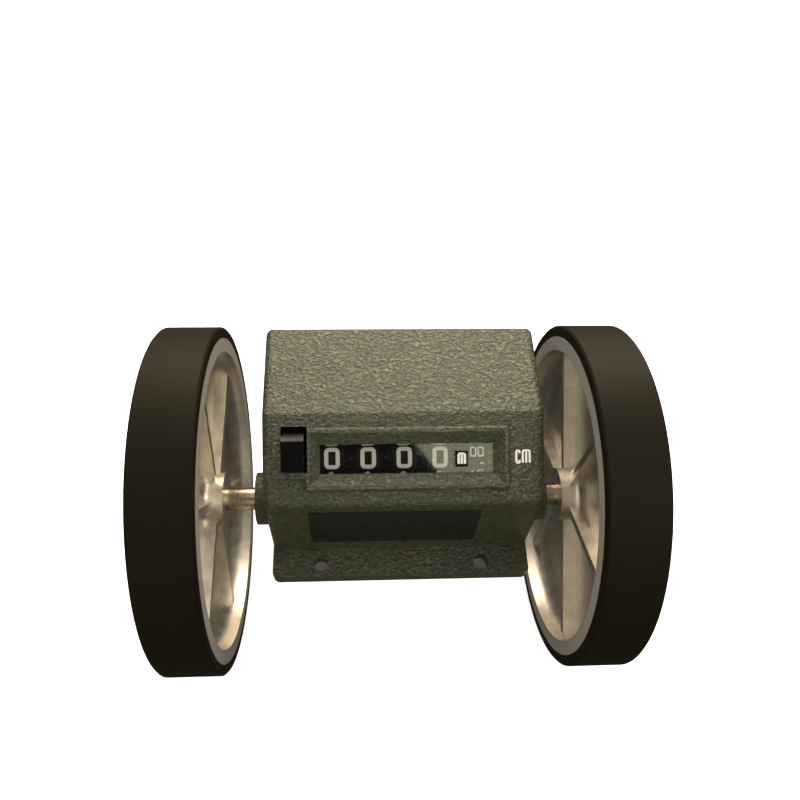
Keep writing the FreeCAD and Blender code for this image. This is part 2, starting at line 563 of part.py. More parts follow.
# Movement frame: one bent sheet of steel, two uprights and a web, screwed to the base plate.
def make_frame():
    floor = "(dims.base_inset + dims.base_sheet)"
    web = box("dims.frame_right_x - dims.frame_left_x", "dims.frame_back_y - dims.axle_y - dims.frame_relief",
              "dims.frame_web", "dims.frame_left_x", "dims.axle_y + dims.frame_relief", floor)
    sides = []
    for x in ("dims.frame_left_x - dims.sheet_steel", "dims.frame_right_x"):
        body = new_body("upright")
        drawing = sketch_on(body, "YZ_Plane", "upright_outline", at=("0", "0", x))
        polygon(drawing, [
            ("dims.frame_front_y", f"{floor}"), ("dims.frame_back_y", f"{floor}"),
            ("dims.frame_back_y", "dims.frame_roof_z"), ("dims.roof_front_y - 3", "dims.frame_roof_z"),
            ("dims.frame_front_y", "dims.dial_foot_z - 4")])
        pad(body, drawing, "dims.sheet_steel")
        holes = sketch_on(body, "YZ_Plane", "upright_holes", at=("0", "0", x))
        circle(holes, "dims.axle_y", "dims.axle_z", "dims.axle_radius + 1")
        circle(holes, "dims.drum_y", "dims.drum_z", "dims.drum_shaft_radius")
        circle(holes, TRANSFER_Y, TRANSFER_Z, "dims.transfer_shaft_radius")
        circle(holes, "dims.comb_y", "dims.comb_z", "dims.comb_rod_radius + dims.running_gap")
        doc.recompute()
        pocket(body, holes, "dims.sheet_steel", backwards=True)
        sides.append(body)
    holes = [upright_cylinder("dims.screw_radius", "dims.frame_web", x, y, floor) for x, y in FRAME_SCREWS]
    stub_y, stub_z = idler_place()
    stub_hole = cylinder("dims.idler_radius", "dims.sheet_steel", "dims.frame_right_x", stub_y, stub_z)
    pin_hole = cylinder("dims.lever_pin_radius", "dims.sheet_steel", "dims.frame_left_x - dims.sheet_steel",
                        "dims.lever_y", "dims.lever_z")
    finish(cut(fuse([web] + sides), fuse(holes + [stub_hole, pin_hole])), "movement_frame")


def idler_place():
    """Where the idler meshes with the drive gear and with the drum gear, as formulas for Y and Z."""
    near = "(dims.train_module * (dims.drive_teeth + dims.idler_teeth) / 2)"
    far = "(dims.train_module * (dims.idler_pinion_teeth + dims.drum_gear_teeth) / 2)"
    run_y, run_z = "(dims.drum_y - dims.axle_y)", "(dims.drum_z - dims.axle_z)"
    span = f"hypot({run_y}; {run_z})"
    along = f"((({near})^2 - ({far})^2 + ({span})^2) / (2 * {span}))"
    aside = f"sqrt(({near})^2 - {along}^2)"
    y = f"(dims.axle_y + ({along} * {run_y} + {aside} * {run_z}) / {span})"
    z = f"(dims.axle_z + ({along} * {run_z} - {aside} * {run_y}) / {span})"
    return y, z


# Shafts between the uprights: the drums' shaft, the transfer pinions' shaft and a stub for the idler.
def make_shafts():
    start = "dims.frame_left_x - dims.sheet_steel - dims.shaft_overhang"
    length = "dims.frame_right_x - dims.frame_left_x + 2 * dims.sheet_steel + 2 * dims.shaft_overhang"
    finish(cylinder("dims.drum_shaft_radius", length, start, "dims.drum_y", "dims.drum_z"), "drum_shaft")
    finish(cylinder("dims.transfer_shaft_radius", length, start, TRANSFER_Y, TRANSFER_Z), "pinion_shaft")
    stub_y, stub_z = idler_place()
    stub_start = f"({GEAR_X} - 0.6)"
    finish(cylinder("dims.idler_radius", f"dims.frame_right_x + dims.sheet_steel + 0.8 - {stub_start}", stub_start,
                    stub_y, stub_z), "idler_stub")
    pin_start = "(dims.lever_x - dims.lever_width / 2)"
    pin = cylinder("dims.lever_pin_radius", f"dims.frame_left_x - {pin_start}", pin_start,
                   "dims.lever_y", "dims.lever_z")
    head = cylinder("dims.lever_pin_radius + 1", "0.8", f"{pin_start} - 0.8", "dims.lever_y", "dims.lever_z")
    finish(fuse([pin, head]), "lever_pin")
    clips = []
    ends = (f"{start} + 0.5", "dims.frame_right_x + dims.sheet_steel + dims.shaft_overhang - 0.5 - dims.clip_thickness")
    for x in ends:
        clips.append(ring("dims.clip_radius + 0.6", "dims.drum_shaft_radius", "dims.clip_thickness", x,
                          "dims.drum_y", "dims.drum_z"))
        clips.append(ring("dims.clip_radius", "dims.transfer_shaft_radius", "dims.clip_thickness", x,
                          TRANSFER_Y, TRANSFER_Z))
    finish(group(clips), "shaft_circlips")
    gap = "dims.end_float"
    spacer = "dims.drum_hub_radius"
    left_start = f"dims.frame_left_x + {gap}"
    left_stop = f"-2 * dims.drum_pitch - dims.drum_rim_width / 2 - dims.drum_flank - {gap}"
    right_start = f"{GEAR_X} + dims.gear_width + {gap}"
    sleeves = [ring(spacer, "dims.drum_shaft_radius", f"({b}) - ({a})", a, "dims.drum_y", "dims.drum_z")
               for a, b in ((left_start, left_stop), (right_start, f"dims.frame_right_x - {gap}"))]
    finish(group(sleeves), "drum_spacers")


# Drums: moulded rims with a hub; on the right a full gear, on the left the two carry teeth.
def make_drum(label, place_number, has_gear, carry_phase):
    x = place_number * size("drum_pitch")
    y, z = size("drum_y"), size("drum_z")
    rim, flank = size("drum_rim_width"), size("drum_flank")
    left = x - rim / 2
    along = V(1, 0, 0)
    shell = Part.makeCylinder(size("drum_radius"), rim, V(left, y, z), along)
    hollow = Part.makeCylinder(size("drum_radius") - size("drum_rim_wall"), rim, V(left, y, z), along)
    web = Part.makeCylinder(size("drum_radius") - size("drum_rim_wall") / 2, size("drum_web"),
                            V(x - size("drum_web") / 2, y, z), along)
    hub = Part.makeCylinder(size("drum_hub_radius"), rim, V(left, y, z), along)
    solid = shell.cut(hollow).fuse([web, hub])
    flange = Part.makeCylinder(size("carry_radius"), flank + rim / 2, V(left - flank, y, z), along)
    solid = solid.fuse(flange)
    for side in (-0.5, 0.5):
        angle = carry_phase + side * 2 * math.pi / size("carry_teeth")
        reach = size("carry_radius") + size("carry_module") * 0.9
        tooth = Part.makeBox(flank, reach, 0.8, V(left - flank, 0, -0.4))
        tooth.rotate(V(0, 0, 0), along, math.degrees(angle))
        tooth.translate(V(0, y, z))
        solid = solid.fuse(tooth)
    if has_gear:
        disc = gear_solid(int(size("carry_teeth")), size("carry_module"), CARRY_PHASE, flank + rim / 2, x, y, z)
        solid = solid.fuse(disc)
    bore = Part.makeCylinder(size("drum_shaft_radius") + size("running_gap"), 4 * rim, V(x - 2 * rim, y, z), along)
    feature = doc.addObject("Part::Feature", label)
    feature.Shape = solid.cut(bore).removeSplitter()
    return finish(feature, label)


TRANSFER_DIRECTION = math.radians(size("transfer_angle"))
CARRY_PHASE = TRANSFER_DIRECTION
DRUMS = ["thousands", "hundreds", "tens", "units"]


def make_drums():
    half_turn = TRANSFER_DIRECTION + math.pi
    for number, name in enumerate(DRUMS):
        make_drum(f"{name}_drum", number - 2, True, half_turn)
    make_drum("centimetre_drum", 2, False, half_turn)


# Transfer pinions: one to the right of each metre drum, always in mesh with that drum's gear.
def make_transfer_pinions():
    y, z = value(TRANSFER_Y), value(TRANSFER_Z)
    phase = TRANSFER_DIRECTION + math.pi + math.pi / size("transfer_teeth")
    bore = size("transfer_shaft_radius") + size("running_gap")
    for number, name in enumerate(DRUMS):
        x = (number - 2) * size("drum_pitch") + size("drum_rim_width") / 2 + size("end_float")
        pinion = gear(f"{name}_pinion", "transfer_teeth", "carry_module", phase, size("transfer_width"), x, y, z,
                      bore, hub_radius=size("transfer_shaft_radius") + 0.9, hub_length=size("drum_flank"))
        finish(pinion, f"{name}_pinion")


# Gear train: the axle's gear turns the idler, and the idler's pinion turns the centimetre drum once in three.
def mesh_phase(direction, teeth):
    """The phase that puts a gap, not a tooth, in the given direction."""
    return direction + math.pi / teeth


def make_train():
    idler_y, idler_z = (value(formula) for formula in idler_place())
    axle_y, axle_z = size("axle_y"), size("axle_z")
    drum_y, drum_z = size("drum_y"), size("drum_z")
    module, width = size("train_module"), size("gear_width")
    outer_x, inner_x = value(OUTER_GEAR_X), value(GEAR_X)
    to_idler = math.atan2(idler_z - axle_z, idler_y - axle_y)
    finish(gear("drive_gear", "drive_teeth", "train_module", to_idler, width, outer_x, axle_y, axle_z,
                size("axle_radius") + size("press_gap")), "drive_gear")
    finish(gear("idler_gear", "idler_teeth", "train_module", mesh_phase(to_idler + math.pi, size("idler_teeth")),
                width, outer_x, idler_y, idler_z, size("idler_radius") + size("running_gap")), "idler_gear")
    to_drum = math.atan2(drum_z - idler_z, drum_y - idler_y)
    pinion_x = inner_x + size("end_float")
    finish(gear("idler_pinion", "idler_pinion_teeth", "train_module", to_drum, outer_x - pinion_x, pinion_x,
                idler_y, idler_z, size("idler_radius") + size("running_gap")), "idler_pinion")
    finish(gear("centimetre_gear", "drum_gear_teeth", "train_module",
                mesh_phase(to_drum + math.pi, size("drum_gear_teeth")), width, inner_x, drum_y, drum_z,
                size("drum_shaft_radius") + size("running_gap")), "centimetre_gear")


# Reset: the key's lever rocks on its pin and lifts the comb, which turns with its rod behind the drums.
def dial_point(down, out):
    """A point by its distance down the slope from the roof edge and its height above the dial face."""
    slope = math.radians(value(SLOPE))
    y = size("roof_front_y") - down * math.cos(slope) - out * math.sin(slope)
    z = size("roof_z") - down * math.sin(slope) + out * math.cos(slope)
    return y, z


def prism(spots, x, width):
    corners = [V(x, y, z) for y, z in spots]
    return Part.Face(Part.makePolygon(corners + corners[:1])).extrude(V(width, 0, 0))


def make_reset():
    slot_middle = math.dist((size("roof_front_y"), size("roof_z")), (size("dial_foot_y"), size("dial_foot_z"))) / 2
    slot_middle -= size("key_slot_rise")
    slot_top = slot_middle - size("key_slot_height") / 2
    slot_foot = slot_middle + size("key_slot_height") / 2
    top, travel = slot_top + 1.0, 2.6
    foot = slot_foot - travel
    # The key leans down the slope outside, and its stem goes through the slot.
    stem_left = size("key_slot_x") - size("key_stem_width") / 2
    head_left = size("key_slot_x") + size("key_offset") - size("key_width") / 2
    above = size("key_rim_height") + 1.0
    stem = prism([dial_point(top, -6), dial_point(top + 0.2, 0), dial_point(top + 1.4, above),
                  dial_point(foot - 0.3, above), dial_point(foot - 0.4, -6)], stem_left, size("key_stem_width"))
    head = prism([dial_point(top + 1.3, above - 0.2), dial_point(top + 2.2, above + 1.2),
                  dial_point(top + 3.2, above + 1.9), dial_point(foot + 2.2, above + 1.9),
                  dial_point(foot + 2.4, above + 1.3), dial_point(foot - 0.3, above - 0.2)],
                 head_left, size("key_width"))
    key = stem.fuse(head).removeSplitter()
    sheet_left = size("lever_x") - size("lever_sheet") / 2
    pivot_y, pivot_z = size("lever_y"), size("lever_z")
    # The lever is a bent strip: an arm up into the key, an eye round the pin and a tail to the comb.
    arm = prism([dial_point(top + 1.0, -3.2), dial_point(foot - 1.6, -3.2), dial_point(foot - 1.6, -7),
                 (pivot_y - 2.6, pivot_z - 0.6), (pivot_y + 2.6, pivot_z + 0.6), dial_point(top + 1.0, -7)],
                sheet_left, size("lever_sheet"))
    eye = Part.makeCylinder(size("lever_pin_radius") + 1.6, size("lever_width") - 0.4,
                            V(size("lever_x") - size("lever_width") / 2 + 0.2, pivot_y, pivot_z), V(1, 0, 0))
    tail_heading = math.atan2(size("tail_reach_z"), size("tail_reach_y"))
    tail_length = math.hypot(size("tail_reach_y"), size("tail_reach_z"))

    def tail_point(along, aside):
        """A point by its distance from the pin along the tail and its offset to the front of it."""
        y = pivot_y + along * math.cos(tail_heading) - aside * math.sin(tail_heading)
        z = pivot_z + along * math.sin(tail_heading) + aside * math.cos(tail_heading)
        return y, z
    half_tail = size("tail_width") / 2
    tail = prism([tail_point(0, half_tail), tail_point(0, -half_tail), tail_point(tail_length, -half_tail),
                  tail_point(tail_length, half_tail)], sheet_left, size("lever_sheet"))
    bore = Part.makeCylinder(size("lever_pin_radius") + size("running_gap"), 4 * size("lever_width"),
                             V(size("lever_x") - 2 * size("lever_width"), pivot_y, pivot_z), V(1, 0, 0))
    lever = arm.fuse([eye, tail]).cut(bore).removeSplitter()
    socket = prism([dial_point(top + 0.9, -7), dial_point(foot - 1.5, -7), dial_point(foot - 1.5, -3.1),
                    dial_point(top + 0.9, -3.1)], sheet_left - 0.02, size("lever_sheet") + 0.04)
    for label, shape in (("reset_key", key.cut(socket)), ("reset_lever", lever)):
        feature = doc.addObject("Part::Feature", label)
        feature.Shape = shape
        finish(feature, label)
    # The return spring is wound round the lever's eye, with a leg along the arm.
    turn = size("spring_wire") * 1.15
    helix = Part.makeHelix(turn, turn * size("spring_turns"), size("spring_radius") + 1.0)
    wire = Part.Wire(helix.Edges)
    start = helix.Edges[0].valueAt(helix.Edges[0].FirstParameter)
    coil = wire.makePipeShell([Part.Wire(Part.makeCircle(size("spring_wire") / 2, start, V(0, 1, 0)))], True, True)
    coil.Placement = FreeCAD.Placement(V(size("lever_x") + size("lever_sheet") / 2 + 0.4, pivot_y, pivot_z),
                                       FreeCAD.Rotation(V(0, 1, 0), 90))
    feature = doc.addObject("Part::Feature", "reset_spring")
    feature.Shape = coil
    finish(feature, "reset_spring")
    # The comb: a rod that turns in the uprights, a sleeve with a finger for each gap between drums, and an arm.
    rod_start = size("lever_x") - 1.6
    rod_stop = size("frame_right_x") + size("sheet_steel") + size("shaft_overhang")
    comb_y, comb_z = size("comb_y"), size("comb_z")
    rod = cylinder("dims.comb_rod_radius", f"{rod_stop - rod_start}", f"{rod_start}", "dims.comb_y", "dims.comb_z")
    finish(rod, "comb_rod")
    sleeve_start = size("frame_left_x") + 0.4
    sleeve = Part.makeCylinder(size("comb_sleeve"), size("frame_right_x") - 0.4 - sleeve_start,
                               V(sleeve_start, comb_y, comb_z), V(1, 0, 0))
    toward = math.atan2(size("drum_z") - comb_z, size("drum_y") - comb_y)
    fingers = []
    for number in range(4):
        x = (number - 1.5) * size("drum_pitch") - size("finger_sheet") / 2
        finger = Part.makeBox(size("finger_sheet"), size("comb_reach"), 1.6, V(x, 0, -0.8))
        finger.rotate(V(0, 0, 0), V(1, 0, 0), math.degrees(toward))
        finger.translate(V(0, comb_y, comb_z))
        fingers.append(finger)
    hole = Part.makeCylinder(size("comb_rod_radius") + size("press_gap"), rod_stop - rod_start,
                             V(rod_start, comb_y, comb_z), V(1, 0, 0))
    comb = sleeve.fuse(fingers).cut(hole).removeSplitter()
    feature = doc.addObject("Part::Feature", "reset_comb")
    feature.Shape = comb
    finish(feature, "reset_comb")
    # The arm's pin lies just over the lever's tail.
    pin_r = size("comb_pin_radius")
    pin_y, pin_z = tail_point(tail_length - pin_r, half_tail + pin_r + size("contact_gap"))
    arm_x = size("frame_left_x") - size("sheet_steel") - 0.3 - size("lever_sheet")
    reach = math.dist((pin_y, pin_z), (comb_y, comb_z))
    heading = math.atan2(pin_z - comb_z, pin_y - comb_y)
    arm = Part.makeBox(size("lever_sheet"), reach + pin_r, 3.2, V(arm_x, 0, -1.6))
    arm.rotate(V(0, 0, 0), V(1, 0, 0), math.degrees(heading))
    arm.translate(V(0, comb_y, comb_z))
    boss = Part.makeCylinder(size("comb_rod_radius") + 1.3, size("lever_sheet"), V(arm_x, comb_y, comb_z), V(1, 0, 0))
    peg_start = size("lever_x") - 1.2
    peg = Part.makeCylinder(pin_r, arm_x + size("lever_sheet") - peg_start, V(peg_start, pin_y, pin_z), V(1, 0, 0))
    feature = doc.addObject("Part::Feature", "comb_arm")
    feature.Shape = arm.fuse([boss, peg]).cut(hole).removeSplitter()
    finish(feature, "comb_arm")


for maker in (make_set_screws, make_frame, make_shafts, make_drums, make_transfer_pinions, make_train, make_reset):
    maker()
doc.recompute()

for item in doc.Objects:
    if {"Invalid", "Error"} & set(item.State):
        raise RuntimeError(f"{item.Label} ({item.Name}) is {item.State}")
for item in SUB_PARTS:
    if item.Shape.isNull() or not item.Shape.isValid():
        raise RuntimeError(f"{item.Label} has no valid shape")

os.makedirs("parts", exist_ok=True)
for item in SUB_PARTS:
    item.Shape.exportStep(f"parts/{item.Label}.step")
print(len(SUB_PARTS), "sub-parts written")
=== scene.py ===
import json
import math

import bpy
from mathutils import Matrix, Vector


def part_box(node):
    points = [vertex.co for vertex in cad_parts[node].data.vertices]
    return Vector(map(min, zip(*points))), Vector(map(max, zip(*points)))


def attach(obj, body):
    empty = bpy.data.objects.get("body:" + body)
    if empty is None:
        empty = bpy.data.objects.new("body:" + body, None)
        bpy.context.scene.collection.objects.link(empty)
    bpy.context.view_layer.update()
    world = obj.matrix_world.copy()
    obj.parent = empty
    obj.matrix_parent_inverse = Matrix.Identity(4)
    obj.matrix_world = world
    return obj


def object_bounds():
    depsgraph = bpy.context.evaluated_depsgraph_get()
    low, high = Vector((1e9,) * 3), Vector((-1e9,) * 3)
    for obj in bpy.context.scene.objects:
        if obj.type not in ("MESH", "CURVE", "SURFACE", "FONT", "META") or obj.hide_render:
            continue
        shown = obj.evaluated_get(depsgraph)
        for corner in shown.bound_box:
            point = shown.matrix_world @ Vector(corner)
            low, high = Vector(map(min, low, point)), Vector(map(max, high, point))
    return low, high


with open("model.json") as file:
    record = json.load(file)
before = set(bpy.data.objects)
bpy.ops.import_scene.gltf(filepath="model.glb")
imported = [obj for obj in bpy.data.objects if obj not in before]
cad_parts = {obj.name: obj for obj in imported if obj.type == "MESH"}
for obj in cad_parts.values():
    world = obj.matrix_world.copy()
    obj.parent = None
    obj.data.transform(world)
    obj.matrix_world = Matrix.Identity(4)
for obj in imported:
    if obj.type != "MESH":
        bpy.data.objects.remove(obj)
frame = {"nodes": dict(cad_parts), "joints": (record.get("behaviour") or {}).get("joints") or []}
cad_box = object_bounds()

# Camera
# A phone held about 25 cm away, above and a little to the left, tipped over to look almost straight
# down on the dial face.
MM = 0.001
CAMERA_AT = Vector((-14.0, -109.1, 226.4)) * MM
YAW, PITCH, ROLL = (math.radians(angle) for angle in (6.34, 62.12, 4.86))
FOCAL_PIXELS, FRAME_PIXELS = 730.5, 800.0
AIM_PIXEL = (393.6, 452.2)
SENSOR = 36.0


def camera_turn():
    forward = Vector((math.sin(YAW) * math.cos(PITCH), math.cos(YAW) * math.cos(PITCH), -math.sin(PITCH)))
    level = Vector((math.cos(YAW), -math.sin(YAW), 0.0))
    upright = level.cross(forward)
    right = level * math.cos(ROLL) + upright * math.sin(ROLL)
    up = upright * math.cos(ROLL) - level * math.sin(ROLL)
    return Matrix((right, up, -forward)).transposed().to_4x4()


lens = bpy.data.cameras.new("camera")
lens.sensor_width = SENSOR
lens.lens = FOCAL_PIXELS / FRAME_PIXELS * SENSOR
lens.shift_x = (FRAME_PIXELS / 2 - AIM_PIXEL[0]) / FRAME_PIXELS
lens.shift_y = (AIM_PIXEL[1] - FRAME_PIXELS / 2) / FRAME_PIXELS
lens.clip_start = 0.01
camera = bpy.data.objects.new("camera", lens)
camera.matrix_world = Matrix.Translation(CAMERA_AT) @ camera_turn()
bpy.context.scene.collection.objects.link(camera)
bpy.context.scene.camera = camera


# Floor
# A white light table under the wheels, far enough out to fill the frame from every side. The housing's
# shadow is painted on it as a darker patch where its glow is turned off, which is what the fixing holes look
# down on.
PAINTED_SHADOW_SIDE, PAINTED_SHADOW_FRONT, PAINTED_SHADOW_BACK = (50 * MM, 37 * MM), (-24 * MM, -21 * MM), (40 * MM, 12 * MM)
TABLE_GLOW, TABLE_REACH, TABLE_GAP = 0.62, 6.0, 0.5 * MM


def linear(colour):
    """An sRGB hex colour as the linear values that a shader takes."""
    parts = [int(colour[start:start + 2], 16) / 255 for start in (1, 3, 5)]
    return tuple(c / 12.92 if c <= 0.04045 else ((c + 0.055) / 1.055) ** 2.4 for c in parts) + (1.0,)


def add(tree, kind, inputs=None, **settings):
    """Adds a node with its settings, and sets or links each of its inputs."""
    made = tree.nodes.new(kind)
    for name, setting in settings.items():
        setattr(made, name, setting)
    for socket, source in (inputs or {}).items():
        if isinstance(source, bpy.types.NodeSocket):
            tree.links.new(source, made.inputs[socket])
        else:
            made.inputs[socket].default_value = source
    return made


def new_material(name, **values):
    """A material with its shader, and the shader's own sockets set."""
    made = bpy.data.materials.new(name)
    made.use_nodes = True
    shader = made.node_tree.nodes["Principled BSDF"]
    for socket, amount in values.items():
        shader.inputs[socket.replace("_", " ")].default_value = amount
    return made, made.node_tree, shader


def white_light_table():
    made, tree, shader = new_material("white_light_table", Roughness=0.9, Emission_Color=linear("#ffffff"))
    place = add(tree, "ShaderNodeTexCoord").outputs["Object"]
    spot = add(tree, "ShaderNodeSeparateXYZ", {"Vector": place})
    sideways = add(tree, "ShaderNodeMath", {0: spot.outputs["X"]}, operation="ABSOLUTE").outputs[0]
    # The painted shadow: 1 under the housing, fading to 0 across soft sides, front and back.
    painted_shadow = 1.0
    for distance, (clear, full) in ((sideways, PAINTED_SHADOW_SIDE), (spot.outputs["Y"], PAINTED_SHADOW_FRONT),
                                    (spot.outputs["Y"], PAINTED_SHADOW_BACK)):
        edge = add(tree, "ShaderNodeMapRange", {"Value": distance, "From Min": clear, "From Max": full},
                   interpolation_type="SMOOTHSTEP").outputs[0]
        painted_shadow = add(tree, "ShaderNodeMath", {0: edge, 1: painted_shadow}, operation="MULTIPLY").outputs[0]
    # Under the painted shadow the table's glow goes out and its colour turns dark grey.
    glow = add(tree, "ShaderNodeMapRange", {"Value": painted_shadow, "To Min": TABLE_GLOW, "To Max": 0.0})
    tree.links.new(glow.outputs[0], shader.inputs["Emission Strength"])
    tone = add(tree, "ShaderNodeMix", {"Factor": painted_shadow, 6: linear("#fbfbfa"), 7: linear("#4c4d45")},
               data_type="RGBA")
    tree.links.new(tone.outputs[2], shader.inputs["Base Color"])
    return made


under = cad_box[0][2] - TABLE_GAP
floor_mesh = bpy.data.meshes.new("floor")
corners = ((-1, -1), (1, -1), (1, 1), (-1, 1))
floor_mesh.from_pydata([(x * TABLE_REACH, y * TABLE_REACH, under) for x, y in corners], [], [(0, 1, 2, 3)])
floor = bpy.data.objects.new("floor", floor_mesh)
floor_mesh.materials.append(white_light_table())
floor.visible_diffuse = False
floor.visible_glossy = False
bpy.context.scene.collection.objects.link(floor)


# Light
# One broad soft light behind and above, as from a window, a weak fill from in front, and a dim room that
# is brighter overhead. The table throws no light on the counter, so its front stays in shade.
COUNTER_MIDDLE = (0, 0, 0.02)
WINDOW_MIDDLE = (0.02, -0.014, 0.0416)


def area_light(name, spot, target, size, power, colour):
    data = bpy.data.lights.new(name, "AREA")
    data.shape = "RECTANGLE"
    data.size, data.size_y = size
    data.energy = power
    data.color = linear(colour)[:3]
    lamp = bpy.data.objects.new(name, data)
    away = Vector(target) - Vector(spot)
    lamp.matrix_world = Matrix.Translation(spot) @ away.to_track_quat("-Z", "Y").to_matrix().to_4x4()
    bpy.context.scene.collection.objects.link(lamp)
    return lamp


area_light("window_light", spot=(0.08, 0.87, 0.52), target=COUNTER_MIDDLE, size=(0.8, 0.6), power=24.0,
           colour="#ffecd8")
room_fill = area_light("room_fill", spot=(-0.1, -0.85, 0.22), target=COUNTER_MIDDLE, size=(1.2, 0.5),
                       power=3.1, colour="#f4f2e6")
room_fill.visible_glossy = False
# A pale wall beside the camera, which only shows as the veil over the right half of the polished lens.
pale_wall = area_light("pale_wall", spot=(0.166, -0.150, 0.300), target=WINDOW_MIDDLE, size=(0.22, 0.24),
                       power=0.5, colour="#f2efd2")
pale_wall.visible_diffuse = False

# The room: overhead is what lights the paint and rubber, mirrored is what bare metal reflects, a bright
# ceiling over dark walls, blocked where the camera is held in front of it.
LIT_LEVEL, LIT_OVERHEAD = 0.26, 1.0
MIRRORED_FROM, MIRRORED_TO = -0.1, 0.7
MIRRORED_LOW, MIRRORED_HIGH = 0.09, 1.3
TOWARD_CAMERA = (0.04, -0.475, 0.879)
BLOCKED_EDGE, BLOCKED_CORE, BLOCKED_SHADE = 0.93, 0.985, 0.05
BACKDROP = 0.95
room = bpy.data.worlds.new("room")
bpy.context.scene.world = room
room.use_nodes = True
tree = room.node_tree
background = tree.nodes["Background"]
heading = add(tree, "ShaderNodeTexCoord").outputs["Generated"]
upward = add(tree, "ShaderNodeSeparateXYZ", {"Vector": heading}).outputs["Z"]
overhead = add(tree, "ShaderNodeMapRange", {"Value": upward, "From Min": 0.0, "From Max": 1.0,
                                            "To Min": LIT_LEVEL, "To Max": LIT_OVERHEAD}).outputs[0]
mirrored = add(tree, "ShaderNodeMapRange", {"Value": upward, "From Min": MIRRORED_FROM,
                                            "From Max": MIRRORED_TO, "To Min": MIRRORED_LOW,
                                            "To Max": MIRRORED_HIGH},
               interpolation_type="SMOOTHSTEP").outputs[0]
near_camera = add(tree, "ShaderNodeVectorMath", {0: heading, 1: TOWARD_CAMERA}, operation="DOT_PRODUCT")
shade = add(tree, "ShaderNodeMapRange", {"Value": near_camera.outputs["Value"], "From Min": BLOCKED_EDGE,
                                         "From Max": BLOCKED_CORE, "To Min": 1.0, "To Max": BLOCKED_SHADE},
            interpolation_type="SMOOTHSTEP").outputs[0]
rays = add(tree, "ShaderNodeLightPath")
dimmed = add(tree, "ShaderNodeMath", {0: mirrored, 1: shade}, operation="MULTIPLY").outputs[0]
lit = add(tree, "ShaderNodeMix", {"Factor": rays.outputs["Is Glossy Ray"], 2: overhead, 3: dimmed},
          data_type="FLOAT").outputs[0]
strength = add(tree, "ShaderNodeMix", {"Factor": rays.outputs["Is Camera Ray"], 2: lit, 3: BACKDROP},
               data_type="FLOAT").outputs[0]
tree.links.new(strength, background.inputs["Strength"])
background.inputs["Color"].default_value = linear("#fbf8f2")
bpy.context.scene.view_settings.view_transform = "Standard"


# Housing
# A die casting in grey-green hammertone enamel, sprayed and baked: the paint draws up into low worm-like
# ridges about a millimetre across, half glossy, with browner patches where it is thick. The hollows between
# the ridges are painted darker and the crests lighter, as painted shade and light on the ridges.
nodes = frame["nodes"]
HAMMER_RIDGE, HAMMER_DEPTH, HAMMER_STRETCH = 0.95 * MM, 0.3 * MM, 0.72
HAMMER_GRAIN, HAMMER_PATCH = HAMMER_RIDGE / 3.2, HAMMER_RIDGE / 0.12


def hammertone():
    made, tree, shader = new_material("hammertone_enamel", Metallic=0.15, IOR=1.5)
    place = add(tree, "ShaderNodeTexCoord").outputs["Object"]
    drawn = add(tree, "ShaderNodeMapping", {"Vector": place, "Scale": (HAMMER_STRETCH, 1.0, 1.0)}).outputs[0]
    ridge = add(tree, "ShaderNodeTexNoise", {"Vector": drawn, "Scale": 1 / HAMMER_RIDGE, "Detail": 3.5,
                                             "Roughness": 0.6, "Distortion": 0.5}).outputs["Fac"]
    crest = add(tree, "ShaderNodeMapRange", {"Value": ridge, "From Min": 0.3, "From Max": 0.68},
                interpolation_type="SMOOTHSTEP").outputs[0]
    grain = add(tree, "ShaderNodeTexNoise", {"Vector": place, "Scale": 1 / HAMMER_GRAIN,
                                             "Detail": 3.0}).outputs["Fac"]
    patch = add(tree, "ShaderNodeTexNoise", {"Vector": place, "Scale": 1 / HAMMER_PATCH,
                                             "Detail": 2.0}).outputs["Fac"]
    thick = add(tree, "ShaderNodeMapRange", {"Value": patch, "From Min": 0.52, "From Max": 0.72,
                                             "To Max": 0.5}).outputs[0]
    # Painted shade and light: the hollows take the dark tone and the crests the light one; the browner
    # patches are the paint's own tone.
    valley_painted_shade = add(tree, "ShaderNodeMix", {"Factor": thick, 6: linear("#2b2e1c"), 7: linear("#322b1e")},
                 data_type="RGBA").outputs[2]
    crest_painted_light = add(tree, "ShaderNodeMix", {"Factor": thick, 6: linear("#494d34"), 7: linear("#504735")},
              data_type="RGBA").outputs[2]
    enamel = add(tree, "ShaderNodeMix", {"Factor": crest, 6: valley_painted_shade, 7: crest_painted_light}, data_type="RGBA")
    tree.links.new(enamel.outputs[2], shader.inputs["Base Color"])
    gloss = add(tree, "ShaderNodeMapRange", {"Value": grain, "To Min": 0.26, "To Max": 0.44})
    tree.links.new(gloss.outputs[0], shader.inputs["Roughness"])
    height = add(tree, "ShaderNodeMath", {0: grain, 1: 0.35, 2: crest}, operation="MULTIPLY_ADD").outputs[0]
    bump = add(tree, "ShaderNodeBump", {"Height": height, "Distance": HAMMER_DEPTH, "Strength": 0.95})
    tree.links.new(bump.outputs[0], shader.inputs["Normal"])
    return made


def finish_nodes(material, *names):
    """Gives CAD nodes a better material in their own slots."""
    for name in names:
        for slot in nodes[name].material_slots:
            slot.material = material


finish_nodes(hammertone(), "housing")


# Wheels
# Aluminium die castings, tumbled and left bare: a smooth half-bright skin that mirrors what is round it.
# Only the rim's faces are turned, so they are dull and greyer, with fine rings drawn coarse enough to show.
PIVOT = {joint["child"]: Vector(joint["pos_m"]) for joint in frame["joints"]}
RIM_INNER = 45.6 * MM
TURNED_FROM, FACES_SIDEWAYS = RIM_INNER + 0.1 * MM, 0.9
TURNING_PITCH = 0.35 * MM
CAST_BLOTCH, CAST_GRAIN = 4.17 * MM, 2 * MM


